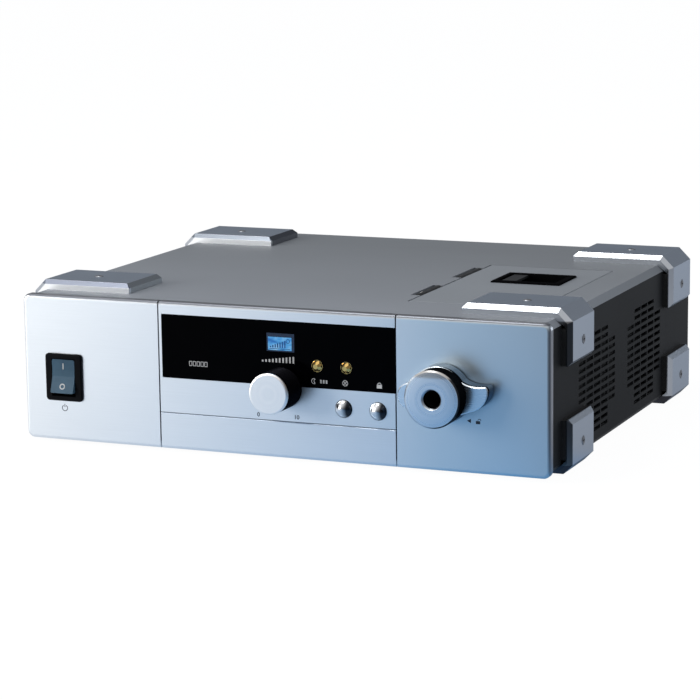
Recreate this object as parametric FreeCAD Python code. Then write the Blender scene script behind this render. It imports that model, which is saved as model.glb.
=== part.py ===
import FreeCAD, Part
import math
import os

# Fibre optic illuminator. Millimetres, +Z up, the front panel faces -Y, the floor is Z = 0.
# Shapes are drawn with Y = 0 on the front panel's face and moved to the middle when written.

# front panel
panel_half = 181.1
panel_low = 2.8
panel_high = 98.8
panel_thick = 5.4
panel_round = 2.2
panel_corner = 5.0
left_seam = -82.5
right_seam = 80.8
lower_seam = 26.7
seam_gap = 0.9
lower_seam_gap = 0.5
lower_seam_edge = 0.4
frame_back = 6.9

# case
body_half = 179.7
body_low = 6.3
body_high = 98.0
body_rear = 314.5
cover_chamfer = 4.0
cover_sheet = 1.2
side_sheet = 1.5

# ventilation slots in the sides, two groups of short dashes
vent_rows = 14
vent_pitch = 4.77
vent_top = 77.0
vent_centres = (98.5, 203.5)
dash_pitch = 15.7
dash_long, dash_tall = 14.0, 2.5

# display window, its screen and lamps
window_left = -80.3
window_low = 49.5
window_high = 90.9
window_thick = 1.6
screen_x, screen_z = 2.8, 77.0
screen_wide, screen_tall = 19.4, 11.9
lamp_xs = (27.8, 47.5)
lamp_z = 63.6
lamp_radius = 3.8

# controls
knob_x, knob_z = 4.2, 48.4
knob_radius = 13.2
knob_reach = 23.0
knob_cap_thick = 1.8
knob_groove = 0.3
knob_groove_pitch = 1.15
knob_grooves = 15
shaft_radius = 3.0
button_xs = (45.6, 68.8)
button_z = 37.6
button_radius = 5.5
button_rise = 3.8
rocker_x, rocker_z = -151.7, 44.9
rocker_tilt = 8.5
rocker_pivot_y = 3.5

# light guide socket and lens train, all on one axis
axis_x, axis_z = 113.4, 52.6
guide_radius = 5.6
nose_radius = 18.0
nose_flat_radius = 9.0
nose_front = -24.5
nose_back = -12.3
journal_radius = 14.0
running_gap = 0.05
lever_radius = 18.4
lever_offset = (-0.9, -0.3)
lever_front = -12.0
lever_back = -1.0

# sheet that keeps lamp light off the side vents
baffle_x = 166.0

# lamp door in the cover
hinge_x, hinge_z = 63.8, 95.8
door_left = 67.5
door_right = 154.3
door_front = 56.5
door_rear = 213.0
door_step_x = 113.0
door_step_y = 75.0
door_gap = 0.8
door_edge = 0.5
hinge_spans = ((79.0, 121.0), (155.0, 199.0))
latch_left, latch_right = 92.2, 139.7
latch_front, latch_rear = 142.0, 180.0

# corner guards
guard_top = 104.3
guard_side = 186.6
guard_bevel = 2.8
guard_inner = 115.5
pad_thick = 3.4
sole_thick = 0.6

guard_spans = ((24.0, 72.0), (248.0, 296.0))
guard_mids = [(start + end) / 2 for start, end in guard_spans]
top_screw_x = 150.0
side_screw_zs = (82.0, 18.0)
rear_screw_spots = [(x, z) for x in (-160, -60, 40, 160) for z in (12.5, 90.5)]
screw_radius = 1.5
screw_head_radius = 2.9
screw_head_high = 1.6
screw_recess = (1.7, 0.4)

# cooling fan
fan_x, fan_z = 113.4, 52.0
fan_half = 40.0
fan_front, fan_back = 287.0, 312.0
fan_hub_radius = 15.5
fan_blades = 7
fan_screws = [(fan_x + sx * 35.75, fan_z + sz * 35.75) for sx in (-1, 1) for sz in (-1, 1)]

# mains inlet
inlet_x, inlet_z = -140.0, 58.0

# equipotential pin, the furthest thing behind the case
earth_x, earth_z = -95.0, 30.0
earth_reach = 12.0

middle_y = (nose_front + body_rear + earth_reach) / 2

os.makedirs("parts", exist_ok=True)


def box(x0, x1, y0, y1, z0, z1):
    return Part.makeBox(x1 - x0, y1 - y0, z1 - z0, FreeCAD.Vector(x0, y0, z0))


def rod(axis, centre, radius, start, end):
    """A cylinder along one axis, from start to end on it; centre gives the two other coordinates."""
    if axis == "x":
        base, way = FreeCAD.Vector(start, *centre), FreeCAD.Vector(1, 0, 0)
    elif axis == "y":
        base, way = FreeCAD.Vector(centre[0], start, centre[1]), FreeCAD.Vector(0, 1, 0)
    else:
        base, way = FreeCAD.Vector(*centre, start), FreeCAD.Vector(0, 0, 1)
    return Part.makeCylinder(radius, end - start, base, way)


def tube(axis, centre, outer, inner, start, end):
    return rod(axis, centre, outer, start, end).cut(rod(axis, centre, inner, start - 1, end + 1))


def bar(axis, centre, half_a, half_b, start, end):
    """A rectangular bar along one axis, its centre given as for rod."""
    spans = [(centre[0] - half_a, centre[0] + half_a), (centre[1] - half_b, centre[1] + half_b)]
    spans.insert("xyz".index(axis), (start, end))
    return box(*[limit for span in spans for limit in span])


def outline(steps, place):
    """A face inside corners and smooth stretches; a list among the steps is curved through its points."""
    edges, last = [], steps[0]
    for step in steps[1:] + steps[:1]:
        if isinstance(step, list):
            curve = Part.BSplineCurve()
            curve.interpolate([place(*point) for point in [last] + step])
            edges.append(curve.toShape())
            last = step[-1]
        else:
            edges.append(Part.makeLine(place(*last), place(*step)))
            last = step
    return Part.Face(Part.Wire(edges))


def prism(plane, steps, start, end):
    """An outline in the plane xy, xz or yz, swept along the third axis."""
    order = {"xy": lambda a, b, c: (a, b, c), "xz": lambda a, b, c: (a, c, b),
             "yz": lambda a, b, c: (c, a, b)}
    face = outline(steps, lambda a, b: FreeCAD.Vector(*order[plane](a, b, start)))
    return face.extrude(FreeCAD.Vector(*order[plane](0, 0, end - start)))


def turned(profile, centre):
    """An outline of radius and y pairs, turned about a line along Y through centre."""
    face = outline(profile, lambda r, y: FreeCAD.Vector(centre[0] + r, y, centre[1]))
    return face.revolve(FreeCAD.Vector(centre[0], 0, centre[1]), FreeCAD.Vector(0, 1, 0), 360)


def dome(centre, radius, rise, base, way):
    """A cap of a ball on a disc at y = base; way is -1 where it rises forward, 1 where it rises back."""
    ball = (radius ** 2 + rise ** 2) / (2 * rise)
    middle = FreeCAD.Vector(centre[0], base + way * (rise - ball), centre[1])
    tip = base + way * rise
    return Part.makeSphere(ball, middle).common(rod("y", centre, radius, min(base, tip), max(base, tip)))


def spun(shape, point, axis, degrees):
    result = shape.copy()
    result.rotate(FreeCAD.Vector(*point), FreeCAD.Vector(*axis), degrees)
    return result


def mirrored(shape):
    return shape.mirror(FreeCAD.Vector(0, 0, 0), FreeCAD.Vector(1, 0, 0))


def joined(shapes):
    shapes = list(shapes)
    return shapes[0].fuse(shapes[1:]).removeSplitter() if len(shapes) > 1 else shapes[0]


def without(shape, tools):
    tools = list(tools)
    return shape.cut(tools) if tools else shape


def write(node, *shapes):
    solids = [solid for shape in shapes for solid in shape.Solids]
    whole = solids[0] if len(solids) == 1 else Part.makeCompound(solids)
    whole.translate(FreeCAD.Vector(0, -middle_y, 0))
    whole.exportStep("parts/%s.step" % node)


def edges_where(shape, test):
    return [edge for edge in shape.Edges if test(edge)]


def along(edge, axis):
    if len(edge.Vertexes) != 2:
        return False
    step = edge.Vertexes[1].Point.sub(edge.Vertexes[0].Point).normalize()
    return abs(abs(getattr(step, axis)) - 1) < 1e-6


def at_y(edge, y):
    return all(abs(vertex.Y - y) < 1e-6 for vertex in edge.Vertexes)


# ---- front panel ----

def front_plates():
    low, high, half = panel_low, panel_high, panel_half
    blank = box(-half, half, 0, panel_thick, low, high)
    corners = edges_where(blank, lambda e: along(e, "y"))
    blank = blank.makeFillet(panel_corner, corners)
    front = edges_where(blank, lambda e: at_y(e, 0))
    blank = blank.makeFillet(panel_round, front)
    side, step = seam_gap / 2, lower_seam_gap / 2

    def slab(x0, x1, z0, z1):
        return blank.common(box(x0, x1, -1, panel_thick + 1, z0, z1))

    left = slab(-half - 1, left_seam - side, 0, high + 1)
    right = slab(right_seam + side, half + 1, 0, high + 1)
    centre = slab(left_seam + side, right_seam - side, lower_seam + step, high + 1)
    lower = slab(left_seam + side, right_seam - side, 0, lower_seam - step)
    lower = lower.makeChamfer(lower_seam_edge, edges_where(lower, lambda e: along(e, "x") and at_y(e, 0)
                                                           and e.Vertexes[0].Z > lower_seam - 1))

    bezel_hole = box(rocker_x - 11.4, rocker_x + 11.4, -1, 9, rocker_z - 13.9, rocker_z + 13.9)
    left = left.cut(bezel_hole)
    right = right.cut(rod("y", (axis_x, axis_z), journal_radius + 0.3, -1, 9))
    pocket = box(window_left, right_seam + 1, -1, window_thick, window_low, window_high)
    screen = box(screen_x - 11, screen_x + 11, -1, 9, screen_z - 8, screen_z + 8)
    lamps = [rod("y", (x, lamp_z), 3.4, -1, 9) for x in lamp_xs]
    shaft = rod("y", (knob_x, knob_z), 5.2, -1, 9)
    presses = [rod("y", (x, button_z), button_radius + 0.35, -1, 9) for x in button_xs]
    centre = without(centre, [pocket, screen, shaft] + lamps + presses)
    write("panel_left", left)
    write("panel_right", right)
    write("panel_centre", centre)
    write("panel_lower", lower)

    window = box(window_left + 0.1, right_seam - side, 0, window_thick - 0.05,
                 window_low + 0.1, window_high - 0.1)
    tall = edges_where(window, lambda e: along(e, "y") and e.Vertexes[0].X < 0)
    window = window.makeFillet(1.2, tall)
    view = box(screen_x - screen_wide / 2, screen_x + screen_wide / 2, -1, 9,
               screen_z - screen_tall / 2, screen_z + screen_tall / 2)
    lens_holes = [rod("y", (x, lamp_z), lamp_radius + 0.1, -1, 9) for x in lamp_xs]
    write("display_window", without(window, [view, shaft] + lens_holes))

    inner = body_half - side_sheet - 0.3
    frame = box(-inner, inner, panel_thick, frame_back, body_low + side_sheet + 0.3, 93.0)
    guide_hole = rod("y", (axis_x, axis_z), journal_radius + 0.3, 0, 9)
    write("front_frame", without(frame, [bezel_hole, screen, shaft, guide_hole] + lamps + presses))


# ---- case ----

def cover_section(drop):
    """The cover's outline across the case, sunk by drop below its outer skin."""
    half, chamfer = body_half, cover_chamfer
    foot = body_high - chamfer
    lean = drop * math.sqrt(2)
    crown = half - chamfer + drop - lean
    edge = half - lean
    return [(-edge, foot), (-crown, body_high - drop), (crown, body_high - drop), (edge, foot)]


def door_outline(grow):
    return [(door_left - grow, door_front - grow), (door_step_x + grow, door_front - grow),
            (door_step_x + grow, door_step_y - grow), (door_right + grow, door_step_y - grow),
            (door_right + grow, door_rear + grow), (door_left - grow, door_rear + grow)]


def cover():
    inner = list(reversed(cover_section(cover_sheet)))
    shell = prism("xz", cover_section(0) + inner, panel_thick, body_rear)
    slots = [box(hinge_x - 3.9, door_left, y0, y1, 90, 100) for y0, y1 in hinge_spans]
    opening = prism("xy", door_outline(door_gap), 90, 100)
    drilled = [rod("z", (side * top_screw_x, y), screw_radius + 0.1, 90, 100)
               for side in (-1, 1) for y in guard_mids]
    write("top_cover", without(shell, [opening] + slots + drilled))

    ledge_top = body_high - cover_sheet
    rim = box(76, 160.5, 50.5, 219, ledge_top - 1.2, ledge_top)
    hole = prism("xy", [(75, 61.5), (108, 61.5), (108, 80), (149.3, 80), (149.3, 208), (75, 208)], 90, 99)
    write("door_ledge", rim.cut(hole))


def side_slots():
    slots = []
    for row in range(vent_rows):
        z = vent_top - row * vent_pitch
        reach = 2 if 2 <= row <= 10 else 1
        for centre in vent_centres:
            for column in range(-reach, reach + 1):
                under_guard = centre == vent_centres[0] and column == -2 and (row == 2 or row >= 9)
                if under_guard:
                    continue
                y = centre + column * dash_pitch
                slots.append(box(body_half - 3, body_half + 1, y - dash_long / 2, y + dash_long / 2,
                                 z - dash_tall / 2, z + dash_tall / 2))
    return slots


def sides():
    top = body_high - cover_chamfer
    plate = box(body_half - side_sheet, body_half, panel_thick, body_rear, body_low + side_sheet, top)
    drilled = [rod("x", (y, z), screw_radius + 0.1, 170, 190) for y in guard_mids for z in side_screw_zs]
    right = plate.cut(Part.makeCompound(side_slots() + drilled))
    write("side_panel_right", right)
    write("side_panel_left", mirrored(right))


def tray():
    floor = box(-body_half, body_half, panel_thick, body_rear, body_low, body_low + side_sheet)
    flange_x = body_half - side_sheet
    base = body_low + side_sheet
    flanges = [box(sign * flange_x - (side_sheet if sign > 0 else 0),
                   sign * flange_x + (0 if sign > 0 else side_sheet),
                   frame_back + 1, body_rear - 3, base - 0.5, 14.0) for sign in (-1, 1)]
    slots = [box(84, 144, y, y + 4, 0, 9) for y in range(120, 200, 10)]
    slots += [box(-140, -70, y, y + 4, 0, 9) for y in range(180, 240, 10)]
    write("base_tray", without(joined([floor] + flanges), slots))


def rear():
    inner = body_half - side_sheet
    top = body_high - cover_sheet
    rim = [(-inner, body_low + side_sheet), (inner, body_low + side_sheet),
           (inner, top - 3.3), (inner - 3.3, top), (3.3 - inner, top), (-inner, top - 3.3)]
    plate = prism("xz", rim, body_rear - 1.5, body_rear)
    holes = [rod("y", (fan_x, fan_z), fan_half - 2.5, 300, 320)]
    holes += [rod("y", spot, 2.2, 300, 320) for spot in fan_screws]
    holes += [rod("y", spot, screw_radius + 0.1, 300, 320) for spot in rear_screw_spots]
    holes.append(box(inlet_x - 14, inlet_x + 14, 300, 320, inlet_z - 24, inlet_z + 14))
    holes.append(rod("y", (earth_x, earth_z), 3.1, 300, 320))
    for row in range(6):
        z = 34 + row * 8
        holes += [box(x, x + 22, 300, 320, z, z + 3) for x in (-70, -42, -14, 14)]
    write("rear_panel", without(plate, holes))

    rings = [tube("y", (fan_x, fan_z), r + 1.1, r - 1.1, body_rear + 0.6, body_rear + 2.6)
             for r in (9, 18, 27, 36)]
    spoke = box(fan_x - 50.6, fan_x + 50.6, body_rear, body_rear + 1.2, fan_z - 1.3, fan_z + 1.3)
    spokes = [spun(spoke, (fan_x, 0, fan_z), (0, 1, 0), a) for a in (45, 135)]
    eyes = [tube("y", spot, 4.0, 2.2, body_rear, body_rear + 1.2) for spot in fan_screws]
    drill = [rod("y", spot, 2.2, 300, 330) for spot in fan_screws]
    write("fan_guard", without(joined(rings + spokes + eyes), drill))


# ---- corner guards ----

def guard(y0, y1, upper):
    """One right-hand corner guard: a top and a side leg round the case edge, bevelled all round."""
    skin = body_half + pad_thick
    inner_edge = guard_inner
    if upper:
        foot = 68.6
        section = [(inner_edge, body_high), (inner_edge, guard_top), (guard_side - 8, guard_top),
                   (guard_side, guard_top - 8), (guard_side, foot), (skin, foot),
                   (skin, body_high - 5.6), (body_half - cover_chamfer, body_high)]
    else:
        head = 34.9
        section = [(skin, head), (guard_side, head), (guard_side, 6.6), (guard_side - 6, sole_thick),
                   (inner_edge, sole_thick), (inner_edge, body_low), (body_half, body_low),
                   (skin, body_low + pad_thick)]
    block = prism("xz", section, y0, y1)

    def outer(edge):
        points = [vertex.Point for vertex in edge.Vertexes]
        on_end = at_y(edge, y0) or at_y(edge, y1)
        if upper:
            shell = all(p.z > guard_top - 1e-6 or p.x > guard_side - 1e-6 for p in points)
            tip = along(edge, "y") and all(p.z > guard_top - 1e-6 and p.x < inner_edge + 1e-6
                                           or p.x > guard_side - 1e-6 and p.z < 69 for p in points)
        else:
            shell = all(p.x > guard_side - 1e-6 or p.z < sole_thick + 1e-6 for p in points)
            tip = along(edge, "y") and all(p.x > guard_side - 1e-6 and p.z > 34 for p in points)
        return shell and on_end or tip

    return block.makeChamfer(guard_bevel, edges_where(block, outer))


def screw(axis, centre, seat, way=1, shank_long=6.0, head_radius=screw_head_radius):
    """A pan head screw with a cross recess, its head's underside at seat, looking along way."""
    top, end = seat + way * screw_head_high, seat - way * shank_long
    head = rod(axis, centre, head_radius, min(seat, top), max(seat, top))
    rim = edges_where(head, lambda e: len(e.Vertexes) == 1
                      and abs(getattr(e.CenterOfMass, axis) - top) < 1e-6)
    head = head.makeChamfer(0.55, rim)
    wide, narrow = screw_recess
    cross = [bar(axis, centre, a, b, top - 0.8, top + 0.8) for a, b in ((wide, narrow), (narrow, wide))]
    shank = rod(axis, centre, screw_radius, min(seat, end), max(seat, end))
    return joined([without(head, cross), shank])


def guards():
    rubbers, screws, uppers, lowers = [], [], [], []
    for y0, y1 in guard_spans:
        mid = (y0 + y1) / 2
        upper, lower = guard(y0, y1, True), guard(y0, y1, False)
        holes_up = [rod("z", (top_screw_x, mid), screw_radius, 80, 120),
                    rod("z", (top_screw_x, mid), 3.1, guard_top - 1.2, 120),
                    rod("x", (mid, side_screw_zs[0]), screw_radius, 170, 200),
                    rod("x", (mid, side_screw_zs[0]), 3.1, guard_side - 1.2, 200)]
        holes_low = [rod("x", (mid, side_screw_zs[1]), screw_radius, 170, 200),
                     rod("x", (mid, side_screw_zs[1]), 3.1, guard_side - 1.2, 200),
                     rod("z", (top_screw_x + 8, mid), 8.1, -1, 2.4)]
        upper, lower = without(upper, holes_up), without(lower, holes_low)
        uppers += [upper, mirrored(upper)]
        lowers += [lower, mirrored(lower)]
        slab = box(body_half, body_half + pad_thick, y0 + 0.2, y1 - 0.2, 68.8, 92.0)
        slab = slab.cut(rod("x", (mid, side_screw_zs[0]), screw_radius, 170, 200))
        foot = box(body_half, body_half + pad_thick, y0 + 0.2, y1 - 0.2, body_low + pad_thick + 0.2, 34.7)
        foot = foot.cut(rod("x", (mid, side_screw_zs[1]), screw_radius, 170, 200))
        sole = rod("z", (top_screw_x + 8, mid), 8.0, 0, 2.4)
        rubbers += [part for half in (slab, foot, sole) for part in (half, mirrored(half))]
        above = screw("z", (top_screw_x, mid), guard_top - 1.2, shank_long=7.0)
        beside = [screw("x", (mid, z), guard_side - 1.2, shank_long=9.0) for z in side_screw_zs]
        screws += [part for half in [above] + beside for part in (half, mirrored(half))]
    write("guards_upper", *uppers)
    write("guards_lower", *lowers)
    write("guard_rubbers", *rubbers)
    write("guard_screws", *screws)


# ---- controls ----

def knob():
    centre = (knob_x, knob_z)
    shoulder = -knob_reach + knob_cap_thick
    side = [(knob_radius, -0.6)]
    for step in range(knob_grooves):
        y = -2.4 - step * knob_groove_pitch
        side += [(knob_radius, y), (knob_radius - knob_groove, y - knob_groove),
                 (knob_radius, y - 2 * knob_groove)]
    side += [(knob_radius, shoulder), (0, shoulder), (0, -18), (shaft_radius, -18)]
    write("brightness_knob", turned([(shaft_radius, -0.6)] + side, centre))
    rim = [(knob_radius - 0.35, -knob_reach + 0.35), (knob_radius, -knob_reach + 1.2)]
    write("knob_cap", turned([(0, -knob_reach), (knob_radius - 1.2, -knob_reach), rim,
                              (knob_radius, shoulder), (0, shoulder)], centre))
    flat = box(knob_x - 4, knob_x + 4, 22, 30, knob_z + 2.2, knob_z + 4)
    write("knob_shaft", rod("y", (knob_x, knob_z), shaft_radius, -17.9, 25).cut(flat))

    bore = shaft_radius + running_gap
    bush = tube("y", (knob_x, knob_z), 4.75, bore, 0.4, 20)
    case = tube("y", (knob_x, knob_z), 12, bore, 20, 29.5)
    nut = prism("xz", [(knob_x + 6.4 * math.cos(math.radians(a)), knob_z + 6.4 * math.sin(math.radians(a)))
                       for a in range(0, 360, 60)], frame_back, frame_back + 2.4)
    nut = nut.cut(rod("y", (knob_x, knob_z), 4.75, 0, 20))
    write("dial_sensor", joined([bush, case]), nut)


def buttons():
    stem = [(0, -0.2), (button_radius, -0.2), (button_radius, 7.2), (7.2, 7.2), (7.2, 8.4), (1.5, 8.4),
            (1.5, 11.4), (0, 11.4)]
    for number, x in enumerate(button_xs, 1):
        centre = (x, button_z)
        crown = dome(centre, button_radius, button_rise, -0.2, -1)
        write("push_button_%d" % number, joined([crown, turned(stem, centre)]))


def rocker_switch():
    x, z = rocker_x, rocker_z
    flange = box(x - 13.3, x + 13.3, -2.0, 0, z - 15.6, z + 15.6)
    flange = flange.makeFillet(2.4, edges_where(flange, lambda e: along(e, "y")))
    flange = flange.makeChamfer(0.8, edges_where(flange, lambda e: at_y(e, -2.0)))
    body = joined([flange, box(x - 11, x + 11, 0, 22, z - 13.5, z + 13.5)])
    well = box(x - 8.6, x + 8.6, -3, 12, z - 12.5, z + 12.5)
    pivot = rod("x", (rocker_pivot_y, z), 1.5 + running_gap, x - 10.2, x + 10.2)
    write("switch_body", body.cut(joined([well, pivot])))

    section = [(-3.6, 11), (-2.9, 11.0), (6.4, 9.4), (9.2, 0), (6.4, -9.4), (-2.9, -11.0), (-3.6, -11),
               (-2.3, -4), (-1.9, 0), (-2.3, 4)]
    paddle = prism("yz", [(y, z + dz) for y, dz in section], x - 8.2, x + 8.2)
    paddle = paddle.makeFillet(1.2, edges_where(paddle, lambda e: abs(e.CenterOfMass.y + 3.25) < 0.1
                                                and along(e, "y")))
    stub = rod("x", (rocker_pivot_y, z), 1.5, x - 10, x + 10)
    paddle = joined([paddle, stub])
    write("power_rocker", spun(paddle, (x, rocker_pivot_y, z), (1, 0, 0), -rocker_tilt))


def jewel(x, z):
    """A cut lens: two eight-sided tapers, one turned by half a side, keep what they share."""
    crowns = []
    for turn, girdle, table in ((0.0, 1.06, 0.42), (22.5, 1.0, 0.62)):
        rings = []
        for y, share in ((0.3, girdle), (-2.6, table)):
            corners = [(lamp_radius * share * math.cos(math.radians(a + turn)),
                        lamp_radius * share * math.sin(math.radians(a + turn))) for a in range(0, 360, 45)]
            points = [FreeCAD.Vector(x + dx, y, z + dz) for dx, dz in corners]
            rings.append(Part.makePolygon(points + points[:1]))
        crowns.append(Part.makeLoft(rings, True, True))
    return crowns[0].common(crowns[1])


def display():
    x, z = screen_x, screen_z
    face = box(x - 9.6, x + 9.6, 0.6, 1.7, z - 5.85, z + 5.85)
    write("screen_module", joined([face, box(x - 10.8, x + 10.8, 1.7, 16, z - 7.8, z + 7.8)]))
    lenses = []
    for lamp_x in lamp_xs:
        stem = turned([(0, 0.3), (lamp_radius, 0.3), (lamp_radius, 1.5), (3.2, 1.6), (3.2, 12), (0, 12)],
                      (lamp_x, lamp_z))
        lenses.append(joined([jewel(lamp_x, lamp_z), stem]))
    write("status_lamps", *lenses)
    board = box(-76, 78, 16, 17.6, 29, 91)
    board = board.cut(rod("y", (knob_x, knob_z), 12.6, 10, 20))
    write("control_board", board.cut(box(knob_x - 7, knob_x + 7, 10, 20, 28, knob_z)))
    switches = [box(bx - 3, bx + 3, 13.8, 16, button_z - 3, button_z + 3) for bx in button_xs]
    chips = [box(-60, -46, 17.6, 19.6, 60, 74), box(-40, -28, 17.6, 19.2, 62, 70),
             box(40, 62, 17.6, 19.6, 50, 60)]
    chips += [rod("y", (cx, 42), 4, 17.6, 29) for cx in (-62, -50, -38)]
    write("board_parts", *switches, *chips)


# ---- light guide socket ----

def socket():
    centre = (axis_x, axis_z)
    crown = [(13.0, nose_front + 0.09), (nose_radius - 1.0, nose_front + 0.35)]
    nose = turned([(guide_radius + 1.0, nose_front), (nose_flat_radius, nose_front), crown,
                   (nose_radius, nose_front + 1.3), (nose_radius, nose_back), (9.05, nose_back),
                   (9.05, -20), (guide_radius, -20), (guide_radius, nose_front + 1.0)], centre)
    write("socket_nose", nose)
    bush = turned([(guide_radius, -20), (9.0, -20), (9.0, nose_back), (journal_radius, nose_back),
                   (journal_radius, frame_back), (23, frame_back), (23, 10), (10, 10), (10, 30),
                   (guide_radius, 30)], centre)
    write("socket_bush", bush)

    x, z = centre
    hollow = [(12.1, 11.5), (17.9, 8.1), (24.3, 7.0), (30.2, 7.5)]
    tip = [(31.3, 6.4), (31.2, 1.0), (29.4, -2.8), (25.6, -6.5), (20.4, -8.7)]
    edge = [(7.0, 15.9), hollow, tip, (13.5, -11.2), (5, -16)]
    wing = outline(edge, lambda a, b: FreeCAD.Vector(x + a, lever_front, z + b))
    wing = wing.extrude(FreeCAD.Vector(0, lever_back - lever_front, 0))
    lobe = rod("y", (x - 19.0, z - 1.4), 8.2, lever_front, lever_back)
    ring = rod("y", (x + lever_offset[0], z + lever_offset[1]), lever_radius, lever_front, lever_back)
    lever = joined([ring, wing, lobe])
    lever = lever.cut(rod("y", centre, journal_radius + running_gap, -20, 5))
    rim = edges_where(lever, lambda e: at_y(e, lever_front) and len(e.Vertexes) == 2
                      and e.CenterOfMass.distanceToPoint(FreeCAD.Vector(x, lever_front, z)) > 15)
    write("lock_lever", lever.makeChamfer(0.6, rim))


# ---- optics and lamp ----

def optics():
    centre = (axis_x, axis_z)
    wall = [box(50.8, 52.0, 24, 284, 7.8, 92), box(52.0, 58, 24, 284, 7.8, 9.0)]
    write("bay_wall", joined(wall))
    bx = baffle_x
    sheet = [(bx - 9, 7.8), (bx + 1.2, 7.8), (bx + 1.2, 88), (bx - 5, 88), (bx - 5, 86.8), (bx, 86.8),
             (bx, 9.0), (bx - 9, 9.0)]
    feet = [rod("z", (bx - 5, y), 1.7, 7, 10) for y in (60, 160, 260)]
    write("vent_baffle", without(prism("xz", sheet, 40, 280), feet))

    disc_x = axis_x - 24.0
    disc = tube("y", (disc_x, axis_z), 34, 1.5, 46, 47.2)
    holes = []
    for step in range(8):
        angle = math.radians(45 * step)
        holes.append(rod("y", (disc_x + 24 * math.cos(angle), axis_z + 24 * math.sin(angle)),
                         8.0 - 0.85 * step, 40, 50))
    spindle = rod("y", (disc_x, axis_z), 1.5, 38, 50)
    write("dimmer_disc", joined([without(disc, holes), spindle]))
    motor = rod("y", (disc_x, axis_z), 10, 18, 42)
    write("dimmer_motor", motor.cut(rod("y", (disc_x, axis_z), 1.5 + running_gap, 37.6, 43)))

    bench = box(74, 132, 20, 76, 7.8, 9.8)
    stand = box(disc_x - 9, disc_x + 9, 22, 30, 9.8, axis_z)
    plate = box(99.8, 127, 34, 36, 9.8, 72)
    saddle = box(axis_x - 14, axis_x + 14, 55, 70, 9.8, axis_z)
    bench = joined([bench, stand, plate, saddle])
    seats = [rod("y", (disc_x, axis_z), 10.02, 10, 31), rod("y", centre, 12.1, 30, 40),
             rod("y", centre, 19.02, 50, 90)]
    write("optics_bench", without(bench, seats))

    barrel = [(16.2, 51), (20, 51), (20, 53), (19, 53), (19, 72), (20, 72), (20, 74), (16.2, 74)]
    write("lens_barrel", turned(barrel, centre))
    heat_filter = rod("y", centre, 12.0, 33.8, 37.0)
    front_lens = joined([rod("y", centre, 16.1, 58, 60), dome(centre, 16.1, 4.0, 58, -1)])
    back_lens = joined([rod("y", centre, 16.1, 64, 66), dome(centre, 16.1, 4.0, 66, 1)])
    write("lenses", heat_filter, front_lens, back_lens)


def lamp():
    centre = (axis_x, axis_z)
    outer = [(28, 96), [(25.4, 108), (21.6, 115), (15.6, 121), (9.5, 124.5)], (9.5, 136), (6.2, 136)]
    inner = [(6.2, 124.5), [(13.4, 119.6), (19.8, 113.4), (23.8, 106.6), (26, 96)]]
    write("lamp_reflector", turned(outer + inner, centre))
    bulb = [(0, 103), (1.4, 104), [(4.2, 109), (4.6, 112), (3.4, 116), (2.2, 119)], (2.2, 136), (0, 136)]
    write("lamp_bulb", turned(bulb, centre))
    base = joined([tube("y", centre, 13, 9.6, 126, 137), rod("y", centre, 13, 137, 152)])
    write("lamp_base", base)
    x = axis_x
    bent = [(110, 7.8), (154, 7.8), (154, 76), (152, 76), (152, 9.8), (110, 9.8)]
    bracket = [prism("yz", bent, x - 30, x + 30)]
    bracket += [prism("yz", [(128, 9.8), (152, 9.8), (152, 34)], gx, gx + 1.6) for gx in (x - 30, x + 28.4)]
    write("lamp_bracket", joined(bracket))


# ---- lamp door and catch ----

def door():
    plate_low = 97.1
    plate = prism("xy", door_outline(0), plate_low, body_high)
    plate = plate.makeChamfer(door_edge, edges_where(plate, lambda e: all(v.Z > body_high - 0.01
                                                                          for v in e.Vertexes)))
    seat = box(latch_left + 1.3, latch_right - 1.3, latch_front + 1.3, latch_rear - 1.3, 90, 100)
    plate = plate.cut(seat)
    leaves, barrels = [], []
    for y0, y1 in hinge_spans:
        third = (y1 - y0 - 3) / 3
        a, b = y0 + 1.5 + third, y0 + 1.5 + 2 * third
        knuckle = rod("y", (hinge_x, hinge_z), 2.4, a + 0.3, b - 0.3)
        leaf = box(hinge_x, door_left + 12, a + 0.3, b - 0.3, plate_low - 1.0, plate_low)
        bore = rod("y", (hinge_x, hinge_z), 1.0 + running_gap, y0, y1)
        leaves.append(joined([knuckle, leaf]).cut(bore))
        fixed = [rod("y", (hinge_x, hinge_z), 1.0, y0 + 1.5, y1 - 1.5)]
        for k0, k1 in ((y0 + 1.5, a), (b, y1 - 1.5)):
            barrel = rod("y", (hinge_x, hinge_z), 2.4, k0, k1)
            wing = box(hinge_x - 14, hinge_x, k0, k1, 95.6, 96.8)
            fixed += [barrel, wing]
        barrels.append(joined(fixed))
    write("lamp_door", joined([plate] + leaves))
    write("hinge_barrels", *barrels)


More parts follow.
